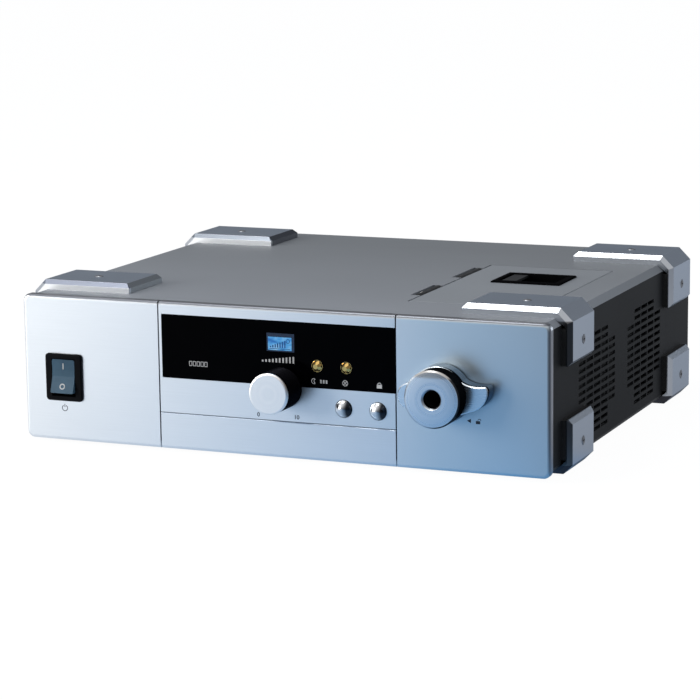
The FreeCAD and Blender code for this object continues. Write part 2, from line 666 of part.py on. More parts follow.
def latch():
    x0, x1, y0, y1 = latch_left, latch_right, latch_front, latch_rear
    rim = box(x0, x1, y0, y1, body_high, body_high + 1.3)
    rim = rim.makeChamfer(0.6, edges_where(rim, lambda e: all(v.Z > body_high + 1.2 for v in e.Vertexes)))
    pan = box(x0 + 1.5, x1 - 1.5, y0 + 1.5, y1 - 1.5, 86, body_high)
    well = box(x0 + 3.4, x1 - 4, y0 + 4, y1 - 4, 87.5, 102)
    gap = box(x0 + 1, x0 + 14, (y0 + y1) / 2 - 4, (y0 + y1) / 2 + 4, 80, 95.5)
    pivot_x, pivot_z = x0 + 5.6, 95.0
    stub_hole = rod("y", (pivot_x, pivot_z), 1.2 + running_gap, y0 + 2.4, y1 - 2.4)
    guides = [box(gx, gx + 4, (y0 + y1) / 2 + s - 1.5, (y0 + y1) / 2 + s + 1.5, 80.0, 86.0)
              for gx in (106, 132) for s in (-6.4, 6.4)]
    keepers = [box(gx, gx + 4, (y0 + y1) / 2 - 7.9, (y0 + y1) / 2 + 7.9, 78.8, 80.0) for gx in (106, 132)]
    housing = joined([rim, pan]).cut(joined([well, gap]))
    housing = joined([housing] + guides + keepers).cut(stub_hole)
    write("latch_housing", housing)

    top = body_high + 0.6
    plate = prism("xz", [(pivot_x - 1.2, top - 4.2), (pivot_x - 1.2, top - 0.8), (pivot_x - 0.4, top),
                         (x0 + 15, top), (x0 + 15, top - 1.6), (pivot_x + 3, top - 1.6),
                         (pivot_x + 1.2, pivot_z - 1.2), (pivot_x + 1.2, 83.0), (pivot_x - 1.2, 83.0)],
                  y0 + 4.4, y1 - 4.4)
    mid = (y0 + y1) / 2
    trim = [box(x0, x0 + 30, a, b, 80, pivot_z - 1) for a, b in ((y0, mid - 3.4), (mid + 3.4, y1))]
    stub = rod("y", (pivot_x, pivot_z), 1.2, y0 + 2.6, y1 - 2.6)
    write("latch_paddle", joined([without(plate, trim), stub]))

    bar = box(pivot_x - 6, 146, mid - 4.4, mid + 4.4, 80.4, 85.4)
    fork = box(pivot_x - 2.3, pivot_x + 2.3, mid - 3.9, mid + 3.9, 82.0, 90)
    riser = box(142.4, 146, mid - 4.4, mid + 4.4, 80.4, 95.0)
    tip = prism("xz", [(146, 90.4), (146, 95.0), (148.6, 95.0), (148.6, 93.0)], mid - 4.4, mid + 4.4)
    write("latch_bolt", joined([bar, riser, tip]).cut(fork))


# ---- cooling fan ----

def fan():
    centre = (fan_x, fan_z)
    h = fan_half
    frame = box(fan_x - h, fan_x + h, fan_front, fan_back, fan_z - h, fan_z + h)
    frame = frame.makeFillet(4, edges_where(frame, lambda e: along(e, "y")))
    frame = frame.cut(rod("y", centre, h - 1.4, 280, 320))
    waist = tube("y", centre, 80, h + 0.4, fan_front + 4, fan_back - 4)
    frame = frame.cut(waist)
    frame = without(frame, [rod("y", spot, 2.2, 280, 320) for spot in fan_screws])
    motor = rod("y", centre, 16, fan_back - 3, fan_back)
    arm = box(fan_x - h + 0.8, fan_x + h - 0.8, fan_back - 3, fan_back, fan_z - 1.6, fan_z + 1.6)
    arms = [spun(arm, (fan_x, 0, fan_z), (0, 1, 0), a) for a in (20, 110)]
    pin = rod("y", centre, 1.5, fan_front + 3, fan_back - 1)
    write("fan_frame", joined([frame, motor, pin] + arms))

    hub = rod("y", centre, fan_hub_radius, fan_front + 1, fan_back - 3.6)
    hub = hub.makeChamfer(1.6, edges_where(hub, lambda e: at_y(e, fan_front + 1)))
    reach = tube("y", centre, h - 2.4, 12, fan_front + 1.2, fan_back - 4)
    blades = [spun(fan_blade(), (fan_x, 0, fan_z), (0, 1, 0), 360 * n / fan_blades).common(reach)
              for n in range(fan_blades)]
    rotor = joined([hub] + blades)
    write("fan_rotor", rotor.cut(rod("y", centre, 1.5 + running_gap, fan_front + 2.7, fan_back)))


def fan_blade():
    """A twisted blade: a steep, narrow section by the hub, a flat, wide one at the tip."""
    mid_y = (fan_front + fan_back) / 2 - 1.4
    sections = []
    for radius, chord, pitch in ((13.0, 17.0, 52.0), (26.0, 24.0, 40.0), (fan_half - 1.0, 30.0, 31.0)):
        across, deep = math.cos(math.radians(pitch)), math.sin(math.radians(pitch))
        camber = [(-chord / 2, 0.0), (-chord / 6, -1.6), (chord / 6, -1.6), (chord / 2, 0.0),
                  (chord / 6, -0.4), (-chord / 6, -0.4)]
        points = [FreeCAD.Vector(fan_x + reach * across - off * deep, mid_y + reach * deep + off * across,
                                 fan_z + radius) for reach, off in camber]
        sections.append(Part.makePolygon(points + points[:1]))
    return Part.makeLoft(sections, True, True)


# ---- power ----

def power():
    x, z = inlet_x, inlet_z
    flange = box(x - 16, x + 16, body_rear, body_rear + 2.4, z - 26, z + 16)
    flange = flange.makeFillet(2.5, edges_where(flange, lambda e: along(e, "y")))
    body = joined([flange, box(x - 13.8, x + 13.8, 290, body_rear, z - 23.8, z + 13.8)])
    mouth = prism("xz", [(x - 12.2, z - 8.2), (x + 12.2, z - 8.2), (x + 12.2, z + 3.5), (x + 7.6, z + 8.2),
                         (x - 7.6, z + 8.2), (x - 12.2, z + 3.5)], 299, 320)
    cavity = box(x - 11.3, x + 11.3, 294, 320, z - 21.3, z - 11.7)
    write("mains_inlet", body.cut(joined([mouth, cavity])))
    blade_at = ((x, z + 3.6), (x - 7, z - 3.4), (x + 7, z - 3.4))
    blades = [box(bx - 1, bx + 1, 299, 312, bz - 2, bz + 2) for bx, bz in blade_at]
    blades += [box(rocker_x - 3.2, rocker_x + 3.2, 22, 30, rocker_z + dz - 0.4, rocker_z + dz + 0.4)
               for dz in (-8, 0, 8)]
    write("terminal_blades", *blades)
    front = box(x - 11, x + 11, 313.4, body_rear + 3.0, z - 21, z - 12)
    front = front.makeChamfer(0.6, edges_where(front, lambda e: at_y(e, body_rear + 3.0)))
    tray_box = box(x - 10.6, x + 10.6, 295, 313.4, z - 20.6, z - 12.4)
    bed = rod("y", (x, z - 15.9), 2.7, 296.5, 312).fuse(box(x - 2.7, x + 2.7, 296.5, 312, z - 15.9, z - 12))
    write("fuse_drawer", joined([front, tray_box]).cut(bed))

    spot = (earth_x, earth_z)
    end = body_rear + earth_reach
    pin = turned([(0, 304), (3, 304), (3, body_rear), (6, body_rear), (6, body_rear + 2), (3, body_rear + 2),
                  (3, end - 0.8), (2.2, end), (0, end)], spot)
    write("earth_pin", pin)

    trough = [(-172, 7.8), (-44, 7.8), (-44, 62), (-45.5, 62), (-45.5, 9.3), (-170.5, 9.3),
              (-170.5, 62), (-172, 62)]
    comb = [(-71, 15.6), (-51, 15.6), (-51, 19)]
    for x_fin in range(-54, -74, -4):
        comb += [(x_fin + 1.4, 19), (x_fin + 1.2, 56), (x_fin + 0.2, 56), (x_fin, 19)]
    comb = comb[:-1] + [(-71, 19)]
    write("supply_chassis", prism("xz", trough, 120, 284), prism("xz", comb, 140, 230))
    write("supply_board", box(-169, -47, 124, 280, 14, 15.6))
    core = box(-150, -112, 150, 186, 15.6, 50)
    coil = box(-145, -117, 142, 194, 22, 44)
    coil = coil.makeFillet(5.0, edges_where(coil, lambda e: along(e, "z")))
    bolts = [rod("y", (cx, cz), 1.8, 149, 187) for cx in (-147.3, -114.7) for cz in (18.3, 47.3)]
    write("transformer", without(core, bolts), *coil.cut(core).Solids)
    cans = [rod("z", (cx, cy), 8, 15.6, 48) for cx in (-150, -130) for cy in (214, 236)]
    cans += [rod("z", (cx, 262), 5, 15.6, 36) for cx in (-158, -144, -130, -116)]
    write("capacitors", *cans)

    ballast = box(-32, 36, 150, 270, 7.8, 46)
    ballast = ballast.makeChamfer(2.0, edges_where(ballast, lambda e: along(e, "y")))
    lugs = [box(lx, lx + 14, y, y + 16, 7.8, 9.8) for lx in (-44, 34) for y in (156, 248)]
    write("ballast", joined([ballast] + lugs))


def rear_screws():
    screws = [screw("y", spot, body_rear) for spot in rear_screw_spots]
    screws += [screw("y", spot, body_rear + 1.2, shank_long=8.0, head_radius=3.4) for spot in fan_screws]
    write("rear_screws", *screws)


front_plates()
cover()
sides()
tray()
rear()
guards()
knob()
buttons()
rocker_switch()
display()
socket()
optics()
lamp()
door()
latch()
fan()
power()
rear_screws()
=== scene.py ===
import math
import bmesh
import bpy
from mathutils import Matrix, Quaternion, Vector


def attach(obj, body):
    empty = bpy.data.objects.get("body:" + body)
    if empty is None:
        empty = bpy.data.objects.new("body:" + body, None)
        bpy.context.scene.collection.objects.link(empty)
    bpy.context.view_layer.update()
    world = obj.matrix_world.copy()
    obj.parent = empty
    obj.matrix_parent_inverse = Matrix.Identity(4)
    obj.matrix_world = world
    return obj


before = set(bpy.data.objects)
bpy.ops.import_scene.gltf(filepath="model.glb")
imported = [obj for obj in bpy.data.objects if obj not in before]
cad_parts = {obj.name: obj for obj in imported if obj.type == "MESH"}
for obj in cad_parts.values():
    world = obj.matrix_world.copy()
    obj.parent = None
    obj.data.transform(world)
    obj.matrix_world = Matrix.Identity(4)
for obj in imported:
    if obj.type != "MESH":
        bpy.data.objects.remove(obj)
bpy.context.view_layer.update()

# places and sizes on the object are in millimetres: x from the middle, y back from the panel face,
# z up from the floor; the marks in a finish, the floor, the lamps and the camera are in metres
milli = 0.001
caseMiddle = 151.0  # how far the frame's origin lies behind the panel face
weldDistance = 1e-7  # metres


def spot(x, y, z):
    return Vector((x, y - caseMiddle, z)) * milli


def addNode(owner, kind, **settings):
    # the owner is a material or the world; a setting is one of the node's sockets or its properties
    node = owner.node_tree.nodes.new(kind)
    for key, value in settings.items():
        socket = key.capitalize()
        if socket in node.inputs:
            node.inputs[socket].default_value = value
        else:
            setattr(node, key, value)
    return node


def join(owner, source, target):
    owner.node_tree.links.new(source, target)


def feed(owner, value, target):
    # a number, a colour or another node's output
    if isinstance(value, (int, float)):
        target.default_value = value
    elif isinstance(value, tuple):
        target.default_value = (*value, 1)
    else:
        join(owner, value, target)


def calculate(owner, operation, *values):
    node = addNode(owner, "ShaderNodeMath", operation=operation)
    for target, value in zip(node.inputs, values):
        feed(owner, value, target)
    return node.outputs[0]


def patternSpace(owner, stretch=(1, 1, 1), centre=(0, 0, 0), turn=(0, 0, 0)):
    # object coordinates in metres, scaled so that 1 is the size of one mark
    coords = addNode(owner, "ShaderNodeTexCoord")
    place = addNode(owner, "ShaderNodeMapping", vector_type="TEXTURE")
    place.inputs["Location"].default_value = centre
    place.inputs["Rotation"].default_value = turn
    place.inputs["Scale"].default_value = stretch
    join(owner, coords.outputs["Object"], place.inputs["Vector"])
    return place.outputs["Vector"]


def splitAxes(owner, vector):
    node = addNode(owner, "ShaderNodeSeparateXYZ")
    join(owner, vector, node.inputs["Vector"])
    return node.outputs


def noise(owner, space, detail=2.0, rough=0.5, scale=1.0):
    node = addNode(owner, "ShaderNodeTexNoise", scale=scale, detail=detail, roughness=rough)
    join(owner, space, node.inputs["Vector"])
    return node.outputs["Fac"]


def remap(owner, value, low, high, start=0.3, end=0.7, curve="LINEAR"):
    node = addNode(owner, "ShaderNodeMapRange", interpolation_type=curve)
    for socket, number in (("From Min", start), ("From Max", end), ("To Min", low), ("To Max", high)):
        node.inputs[socket].default_value = number
    join(owner, value, node.inputs["Value"])
    return node.outputs["Result"]


def ramp(owner, value, stops):
    node = addNode(owner, "ShaderNodeValToRGB")
    elements = node.color_ramp.elements
    while len(elements) < len(stops):
        elements.new(0.5)
    for element, (place, colour) in zip(elements, stops):
        element.position = place
        element.color = (*colour, 1)
    join(owner, value, node.inputs["Fac"])
    return node.outputs["Color"]


def blendColours(owner, amount, first, second):
    node = addNode(owner, "ShaderNodeMix", data_type="RGBA")
    for place, value in ((0, amount), (6, first), (7, second)):  # the node's factor and its two colours
        feed(owner, value, node.inputs[place])
    return node.outputs[2]


socketNames = {"ior": "IOR", "specularTint": "Specular Tint", "transmission": "Transmission Weight"}


def startFinish(name, colour, roughness, metallic=0.0, **sockets):
    mat = bpy.data.materials.new(name)
    mat.use_nodes = True
    mat.diffuse_color = (*colour, 1)
    shader = mat.node_tree.nodes["Principled BSDF"]
    shader.inputs["Base Color"].default_value = (*colour, 1)
    shader.inputs["Roughness"].default_value = roughness
    shader.inputs["Metallic"].default_value = metallic
    for socket, value in sockets.items():
        shader.inputs[socketNames[socket]].default_value = value
    return mat, shader


def shade(colour, factor):
    return tuple(min(1.0, part * factor) for part in colour)


def tone(mat, shader, marks, colour, *stops):
    # each stop is a place in the marks and the share of the colour there
    shades = [(place, shade(colour, share)) for place, share in stops]
    join(mat, ramp(mat, marks, shades), shader.inputs["Base Color"])


def varyRoughness(mat, shader, marks, roughness, kind):
    low, high = roughness - kind["smoother"], roughness + kind["rougher"]
    join(mat, remap(mat, marks, low, high), shader.inputs["Roughness"])


def addBump(mat, shader, height, strength, distance):
    node = addNode(mat, "ShaderNodeBump", strength=strength, distance=distance)
    join(mat, height, node.inputs["Height"])
    join(mat, node.outputs["Normal"], shader.inputs["Normal"])


brushMarks = {"broad": (0.09, 0.05, 0.018), "broadShare": 0.35, "smoother": 0.006, "rougher": 0.006,
              "bump": 0.005, "depth": 0.00002}


def brushed(name, colour, roughness, run, contrast, **sockets):
    # run is the length of one brush mark along x, y and z
    mat, shader = startFinish(name, colour, roughness, 1.0, **sockets)
    fine = noise(mat, patternSpace(mat, run), detail=3, rough=0.6)
    broad = noise(mat, patternSpace(mat, brushMarks["broad"]))
    marks = blendColours(mat, brushMarks["broadShare"], fine, broad)
    tone(mat, shader, marks, colour, (0.3, 1 - contrast), (0.7, 1 + contrast))
    varyRoughness(mat, shader, fine, roughness, brushMarks)
    addBump(mat, shader, fine, brushMarks["bump"], brushMarks["depth"])
    return mat


paintMarks = {"drift": (0.11, 0.11, 0.11), "driftShare": 0.5, "smoother": 0.04, "rougher": 0.06,
              "depthPerGrain": 0.08}


def painted(name, colour, roughness, grain, fleck, bump, metallic=0.0, **sockets):
    # powder coat or metallic paint: fine orange peel, flecks and a soft drift of tone
    mat, shader = startFinish(name, colour, roughness, metallic, **sockets)
    peel = noise(mat, patternSpace(mat, (grain, grain, grain)), detail=3, rough=0.55)
    drift = noise(mat, patternSpace(mat, paintMarks["drift"]))
    mixed = blendColours(mat, paintMarks["driftShare"], peel, drift)
    tone(mat, shader, mixed, colour, (0.32, 1 - fleck), (0.5, 1), (0.7, 1 + fleck))
    varyRoughness(mat, shader, drift, roughness, paintMarks)
    addBump(mat, shader, peel, bump, grain * paintMarks["depthPerGrain"])
    return mat


mouldMarks = {"wear": (0.012, 0.012, 0.012), "smoother": 0.04, "rougher": 0.05, "depthPerGrain": 0.1}


def moulded(name, colour, roughness, grain=0.0004, bump=0.15, **sockets):
    # moulded plastic, rubber or ink with a fine grain
    mat, shader = startFinish(name, colour, roughness, 0.0, **sockets)
    grainMarks = noise(mat, patternSpace(mat, (grain, grain, grain)), rough=0.6)
    wear = noise(mat, patternSpace(mat, mouldMarks["wear"]), detail=3)
    tone(mat, shader, wear, colour, (0.35, 0.9), (0.65, 1.12))
    varyRoughness(mat, shader, wear, roughness, mouldMarks)
    addBump(mat, shader, grainMarks, bump, grain * mouldMarks["depthPerGrain"])
    return mat


latheMarks = {"smoother": 0.05, "rougher": 0.07, "bump": 0.15, "depth": 0.00002}


def turned(name, colour, roughness, centre=(0, 0, 0), pitch=0.0006, contrast=0.05, **sockets):
    # lathe marks round a line along y
    mat, shader = startFinish(name, colour, roughness, 1.0, **sockets)
    axes = splitAxes(mat, patternSpace(mat, centre=spot(*centre)))
    flat = addNode(mat, "ShaderNodeCombineXYZ")
    join(mat, axes["X"], flat.inputs["X"])
    join(mat, axes["Z"], flat.inputs["Z"])
    reach = addNode(mat, "ShaderNodeVectorMath", operation="LENGTH")
    join(mat, flat.outputs["Vector"], reach.inputs[0])
    line = addNode(mat, "ShaderNodeCombineXYZ")
    join(mat, reach.outputs["Value"], line.inputs["X"])
    join(mat, axes["Y"], line.inputs["Y"])
    marks = noise(mat, line.outputs["Vector"], detail=3, rough=0.6, scale=1 / pitch)
    tone(mat, shader, marks, colour, (0.3, 1 - contrast), (0.7, 1 + contrast))
    varyRoughness(mat, shader, marks, roughness, latheMarks)
    addBump(mat, shader, marks, latheMarks["bump"], latheMarks["depth"])
    return mat


def clear(name, colour, roughness, ior, cloudSize):
    mat, shader = startFinish(name, colour, roughness, 0.0, transmission=1.0, ior=ior)
    cloud = noise(mat, patternSpace(mat, (cloudSize, cloudSize, cloudSize)))
    tone(mat, shader, cloud, colour, (0.3, 0.94), (0.7, 1))
    return mat


def paintLightAndShade(mat, colour, *limits):
    # painted light or shade: a second colour, only where every limit lets it through
    shader = mat.node_tree.nodes["Principled BSDF"]
    axes = splitAxes(mat, patternSpace(mat))
    share = None
    for axis, *places in limits:
        bareAt, paintedAt = [spot(place, place, place)["XYZ".index(axis)] for place in places]
        part = remap(mat, axes[axis], 0.0, 1.0, bareAt, paintedAt)
        share = calculate(mat, "MULTIPLY", share, part) if share else part
    bare = shader.inputs["Base Color"].links[0].from_socket
    join(mat, blendColours(mat, share, bare, colour), shader.inputs["Base Color"])


plate = dict(make=brushed, colour=(0.80, 0.84, 0.88), roughness=0.34,
             run=(0.045, 0.001, 0.00045), contrast=0.025)
cover = dict(make=painted, roughness=0.5, grain=0.0007, fleck=0.07, bump=0.2, ior=1.33)
knobAxis = (4.2, 0, 48.4)
socketAxis = (113.4, 0, 52.6)
jewelAxis = (27.8, 0, 63.6)
buttonZ = 37.6

wallShade = (0.012, 0.013, 0.015)

# where painted light or shade goes: an axis, the place where it is still bare and the place where it is
# painted
behindNoseRim = ("Y", -22.9, -22.8)
behindLeverRim = ("Y", -11.4, -11.3)
leftGuards = ("X", -110, -112)
innerEnd = ("X", -118.4, -118.2)
rearGuards = ("Y", 200, 210)
upperGuards = ("Z", 90, 92)
topBevel = ("Z", 101.4, 101.6)

# painted light and shade on the corner guards, by where the lamps fall on them
guardLightAndShade = (
    ((0.16, 0.16, 0.165), ("Y", 26.85, 26.75), ("X", 170, 180), ("Z", 96.8, 96.0)),  # painted shade on the right front bevels, shadowed behind the panel
    ((0.07, 0.07, 0.08), ("Z", 6.8, 6.4)),  # painted shade on the feet
    ((0.45, 0.47, 0.48), innerEnd, leftGuards, ("Y", 26.9, 27.2), upperGuards),  # painted shade on the inner ends
    ((0.17, 0.165, 0.17), innerEnd, leftGuards, ("Y", 250.4, 250.8), upperGuards),  # painted shade on the rear one
    ((0.33, 0.36, 0.44), leftGuards, ("Y", 26.8, 26.7), topBevel),  # painted shade on the front bevels
    ((0.28, 0.31, 0.355), leftGuards, ("Y", 250.8, 250.7), rearGuards, topBevel),
    ((0.97, 0.985, 1.0), leftGuards, ("Y", 24.1, 24.05), upperGuards),  # painted highlight on the front faces
    ((0.97, 0.985, 1.0), leftGuards, ("Y", 248.1, 248.05), rearGuards, upperGuards),
)


def domedButton(node, x):
    # painted shade makes its right flank dark
    return dict(nodes=(node,), make=turned, colour=(0.80, 0.81, 0.83), roughness=0.22,
                centre=(x, 0, buttonZ), pitch=0.004, contrast=0.02,
                coats=(((0.035, 0.038, 0.045), ("X", x - 0.4, x + 2.8)),))


# each finish: the nodes that wear it, how it is made, and its painted light and shade from the innermost
# out
looks = {
    "panelMetal": dict(
        plate, nodes=("panel_left", "panel_centre", "panel_right"),
        coats=(((0.20, 0.21, 0.235), ("Z", 96.6, 97.6)),  # painted shade on the round along the top, dimming its reflection
               ((0.69, 0.785, 0.84), ("X", 50, 110), ("Z", 97.6, 96.6)),  # painted shade, darker and cooler towards the right
               ((0.40, 0.42, 0.46), ("X", 179.6, 180.4)),  # painted shade on the right end, dimming its round's reflection
               ((0.02, 0.021, 0.023), ("Y", 4.9, 5.3)))),  # painted shade on the back and deep in the seams
    "lowerMetal": dict(
        plate, nodes=("panel_lower",),
        coats=(((0.66, 0.72, 0.80), ("Z", 25.7, 25.9)),)),  # painted shade on the upper edge, in the seam
    "guardMetal": dict(
        nodes=("guards_upper", "guards_lower"), make=brushed,
        colour=(0.75, 0.78, 0.82), roughness=0.28, run=(0.03, 0.03, 0.0006), contrast=0.015,
        specularTint=(0.58, 0.66, 0.76, 1), coats=guardLightAndShade),
    "leverMetal": dict(
        nodes=("lock_lever",), make=brushed,
        colour=(0.84, 0.91, 0.97), roughness=0.27, run=(0.02, 0.001, 0.0006), contrast=0.01,
        specularTint=(0.3, 0.32, 0.35, 1),
        coats=(((0.36, 0.45, 0.55), behindLeverRim, ("X", 116, 122)),  # painted shade on the walls on the right
               (wallShade, behindLeverRim, ("Y", -8.6, -9.4), ("X", 114, 120)))),  # painted shade, dark next to the rim
    "coverPaint": dict(
        cover, nodes=("top_cover",), colour=(0.280, 0.297, 0.33),
        coats=(((0.195, 0.208, 0.226), ("Y", 0, 280)),)),  # painted shade, darker towards the back
    "doorPaint": dict(
        cover, nodes=("lamp_door",), colour=(0.262, 0.28, 0.306),
        coats=(((0.03, 0.031, 0.033), ("X", 67.4, 67.3)),)),  # painted shade on the edge in the hinge gap
    # darker than the cover's paint: painted shade for the sides, which face away from the light
    "sidePaint": dict(
        nodes=("side_panel_left", "side_panel_right"), make=painted,
        colour=(0.019, 0.0195, 0.021), roughness=0.6, grain=0.0006, fleck=0.15, bump=0.3, ior=1.2),
    "zinc": dict(
        nodes=("rear_panel", "front_frame", "door_ledge", "bay_wall", "supply_chassis",
               "dimmer_disc", "transformer", "lamp_bracket", "optics_bench"), make=painted,
        colour=(0.46, 0.47, 0.48), roughness=0.42, grain=0.009, fleck=0.16, bump=0.05, metallic=0.9),
    "blackMetal": dict(
        # the vent baffle is a black sheet that stands in for the shade inside the case behind the vents
        nodes=("socket_bush", "lens_barrel", "ballast", "hinge_barrels", "base_tray", "vent_baffle"),
        make=painted,
        colour=(0.015, 0.015, 0.016), roughness=0.45, grain=0.0005, fleck=0.2, bump=0.2, metallic=0.4),
    "boardGreen": dict(
        nodes=("control_board", "supply_board"), make=painted,
        colour=(0.02, 0.10, 0.035), roughness=0.35, grain=0.004, fleck=0.3, bump=0.05),
    "ceramic": dict(
        nodes=("lamp_base",), make=painted,
        colour=(0.78, 0.76, 0.70), roughness=0.55, grain=0.001, fleck=0.05, bump=0.2),
    "glossWindow": dict(
        nodes=("display_window",), make=moulded,
        colour=(0.0005, 0.0005, 0.0008), roughness=0.06, grain=0.02, bump=0.0, ior=1.08),
    "blackPlastic": dict(
        nodes=("switch_body", "mains_inlet", "fuse_drawer", "fan_frame", "fan_rotor",
               "dial_sensor", "board_parts"), make=moulded,
        colour=(0.004, 0.004, 0.005), roughness=0.42, ior=1.12),
    "catchPlastic": dict(
        nodes=("latch_housing",), make=moulded,
        colour=(0.003, 0.003, 0.0035), roughness=0.75, ior=1.04),
    "latchPlastic": dict(
        nodes=("latch_paddle",), make=moulded,
        colour=(0.020, 0.021, 0.023), roughness=0.5, ior=1.2),
    "rockerPlastic": dict(
        nodes=("power_rocker",), make=moulded,
        colour=(0.046, 0.091, 0.134), roughness=0.4, ior=1.25),
    "rubber": dict(
        nodes=("guard_rubbers",), make=moulded,
        colour=(0.010, 0.010, 0.010), roughness=0.62, grain=0.0005, bump=0.4),
    "blueSleeve": dict(
        nodes=("capacitors",), make=moulded, colour=(0.02, 0.07, 0.30), roughness=0.35),
    "screenBack": dict(
        nodes=("screen_module",), make=moulded, colour=(0.02, 0.05, 0.12), roughness=0.3),
    "darkScrew": dict(
        nodes=("guard_screws",), make=turned,
        colour=(0.30, 0.31, 0.33), roughness=0.35, pitch=0.001),
    "plated": dict(
        nodes=("rear_screws", "latch_bolt", "knob_shaft", "terminal_blades", "fan_guard",
               "dimmer_motor"), make=turned,
        colour=(0.66, 0.67, 0.69), roughness=0.26, pitch=0.002),
    "brassMetal": dict(
        nodes=("earth_pin",), make=turned,
        colour=(0.62, 0.44, 0.16), roughness=0.28, pitch=0.002),
    "knobSkirt": dict(
        nodes=("brightness_knob",), make=turned,
        colour=(0.008, 0.008, 0.010), roughness=0.36, centre=knobAxis,
        specularTint=(0.15, 0.16, 0.18, 1)),
    "knobMetal": dict(
        nodes=("knob_cap",), make=turned,
        colour=(0.99, 0.97, 0.95), roughness=0.33, centre=knobAxis, contrast=0.01),
    "noseMetal": dict(
        nodes=("socket_nose",), make=turned,
        colour=(0.74, 0.81, 0.88), roughness=0.3, centre=socketAxis, contrast=0.02,
        specularTint=(0.10, 0.11, 0.12, 1),
        coats=((wallShade, behindNoseRim),
               ((0.05, 0.053, 0.058), ("Y", -24.1, -24.0), ("X", 107, 116)),  # painted shade on the rim on the right
               ((0.50, 0.485, 0.47), ("Y", -22.8, -22.9), ("Z", 65.2, 66.8)))),  # painted reflection at the top of the face
    "polishedMetal": dict(
        nodes=("lamp_reflector",), make=turned,
        colour=(0.86, 0.87, 0.88), roughness=0.08, centre=socketAxis, pitch=0.004, contrast=0.02),
    "jewelGold": dict(
        nodes=("status_lamps",), make=turned,
        colour=(0.82, 0.54, 0.18), roughness=0.1, centre=jewelAxis, pitch=0.002, contrast=0.12),
    "leftButton": domedButton("push_button_1", 45.6),
    "rightButton": domedButton("push_button_2", 68.8),
    "clearGlass": dict(
        nodes=("lenses", "lamp_bulb"), make=clear,
        colour=(0.95, 0.98, 0.98), roughness=0.02, ior=1.5, cloudSize=0.006),
}


def dressNodes(name, make, nodes, coats=(), **values):
    mat = make(name, **values)
    for colour, *limits in coats:
        paintLightAndShade(mat, colour, *limits)
    for node in nodes:
        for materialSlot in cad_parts[node].material_slots:
            materialSlot.material = mat
    return nodes


dressed = set()
for finishName, look in looks.items():
    dressed.update(dressNodes(finishName, **look))
print("finishes on", len(dressed), "nodes, left over:", sorted(set(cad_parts) - dressed))


def rideOn(body, name, mesh, material):
    mesh.materials.clear()
    mesh.materials.append(material)
    piece = bpy.data.objects.new(name, mesh)
    bpy.context.scene.collection.objects.link(piece)
    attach(piece, body)


def addPiece(name, bm, body, material):
    bmesh.ops.remove_doubles(bm, verts=bm.verts, dist=weldDistance)
    bmesh.ops.recalc_face_normals(bm, faces=bm.faces)
    mesh = bpy.data.meshes.new(name)
    bm.to_mesh(mesh)
    bm.free()
    rideOn(body, name, mesh, material)


def addBar(bm, x, z, wide, tall, front, thick, turn=0.0):
    # a flat bar on a face that looks forward, turned in that face
    size = Matrix.Diagonal((wide * milli, thick * milli, tall * milli, 1))
    where = Matrix.Translation(spot(x, front + thick / 2, z)) @ Matrix.Rotation(math.radians(turn), 4, "Y")
    bmesh.ops.create_cube(bm, size=1, matrix=where @ size)


def addRing(bm, x, z, radius, width, front, thick, start=0.0, sweep=360.0, steps=48):
    # an arc of flat ring on a face that looks forward; start is counted from +x towards +z
    centre = spot(x, front, z)
    way = Vector((math.cos(math.radians(start)), 0, math.sin(math.radians(start))))
    corners = [centre + way * (radius + side * width / 2) * milli + Vector((0, depth * milli, 0))
               for side, depth in ((-1, 0), (1, 0), (1, thick), (-1, thick))]
    face = bm.faces.new([bm.verts.new(corner) for corner in corners])
    section = face.edges[:] + face.verts[:]
    full = abs(sweep) >= 360
    if full:  # a closed ring has no end faces
        bmesh.ops.delete(bm, geom=[face], context="FACES_ONLY")
    else:
        section.append(face)
    bmesh.ops.spin(bm, geom=section, cent=centre, axis=(0, -1, 0), angle=math.radians(sweep),
                   steps=steps, use_merge=full, use_duplicate=False)


def growingBars(bm, bars, x, z, front, thick):
    # a row of bars on one base line, each taller than the last
    for step in range(bars["count"]):
        tall = bars["shortest"] + bars["growth"] * step
        addBar(bm, x + step * bars["pitch"], z + tall / 2, bars["wide"], tall, front, thick)


def addPadlock(bm, lock, x, z, line, front, thick):
    # a body and half a ring over it, both measured from x and z
    addBar(bm, x + lock["x"], z + lock["z"], lock["wide"], lock["tall"], front, thick)
    addRing(bm, x + lock["shackleX"], z + lock["shackleZ"], lock["radius"], line, front, thick,
            start=0, sweep=180, steps=16)


digits = {"sizePerHeight": 1.4, "relief": 0.00002, "heavier": 0.00007}  # the last two in metres


def digitMesh(name, words, x, z, tall, front):
    curve = bpy.data.curves.new(name, "FONT")
    curve.body = words
    curve.size = tall * milli * digits["sizePerHeight"]
    curve.align_x = "CENTER"
    curve.align_y = "CENTER"
    curve.extrude = digits["relief"]
    curve.offset = digits["heavier"]
    holder = bpy.data.objects.new(name, curve)
    bpy.context.scene.collection.objects.link(holder)
    bpy.context.view_layer.update()
    mesh = bpy.data.meshes.new_from_object(holder.evaluated_get(bpy.context.evaluated_depsgraph_get()))
    bpy.data.objects.remove(holder)
    mesh.transform(Matrix.Translation(spot(x, front, z)) @ Matrix.Rotation(math.radians(90), 4, "X"))
    mesh.name = name
    return mesh


darkInk = moulded("darkInk", (0.03, 0.035, 0.05), 0.5)
whiteInk = moulded("whiteInk", (0.46, 0.46, 0.46), 0.5)

